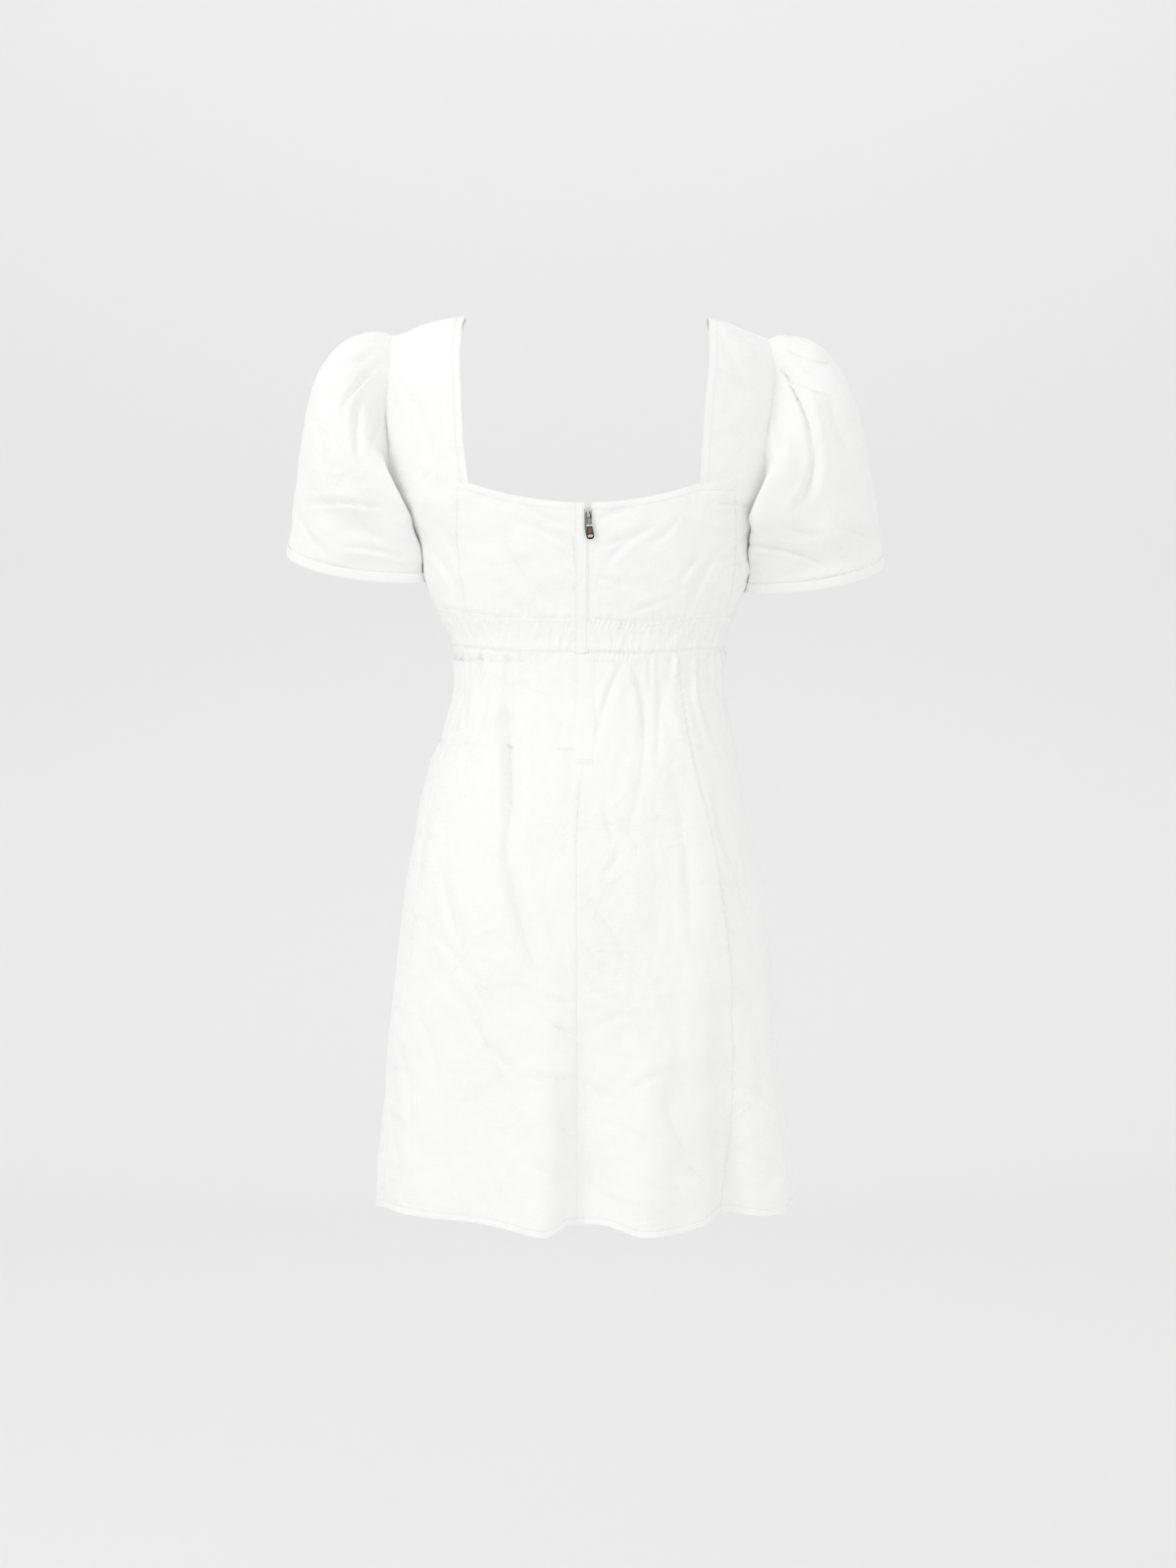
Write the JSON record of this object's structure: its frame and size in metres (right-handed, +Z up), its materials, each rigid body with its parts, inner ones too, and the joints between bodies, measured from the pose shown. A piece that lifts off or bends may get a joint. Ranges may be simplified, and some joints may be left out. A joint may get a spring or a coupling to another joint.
{
  "type": "puff sleeve dress",
  "caption": "Short white cotton dress with puff sleeves, square neck, gathered waistband, flared skirt and a lapped back zip.",
  "frame": {"origin": "between the shoulders, level with the top of the straps, where the dress is held up", "axes": "+Z up; the back, with the zip, faces -Y and the front +Y; +X is the right-hand side seen from the back"},
  "size_m": [0.55, 0.2933, 0.8162],
  "materials": {
    "cotton": "fine plain woven cotton, matt",
    "tape": "woven zip tape",
    "zip_metal": "dark gunmetal"
  },
  "bodies": {
    "dress": {"bodice_back_left": "cotton", "bodice_back_right": "cotton", "bodice_side_left": "cotton", "bodice_side_right": "cotton", "bodice_front": "cotton", "strap_left": "cotton", "strap_right": "cotton", "waistband": "cotton", "skirt_back_left": "cotton", "skirt_back_right": "cotton", "skirt_front": "cotton", "sleeve_left": "cotton", "sleeve_right": "cotton", "cuff_left": "cotton", "cuff_right": "cotton", "zip_placket": "cotton", "skirt_placket": "cotton", "zip_tape": "tape", "zip_chain": "zip_metal", "zip_slider": "zip_metal"},
    "pull_tab": {"zip_pull": "zip_metal"}
  },
  "joints": [
    {"name": "pull_tab_hinge", "type": "hinge", "parent": "dress", "child": "pull_tab", "pos_m": [0.002, -0.1086, -0.1785], "axis": [-1, 0, 0], "range_deg": [0, 165]}
  ]
}
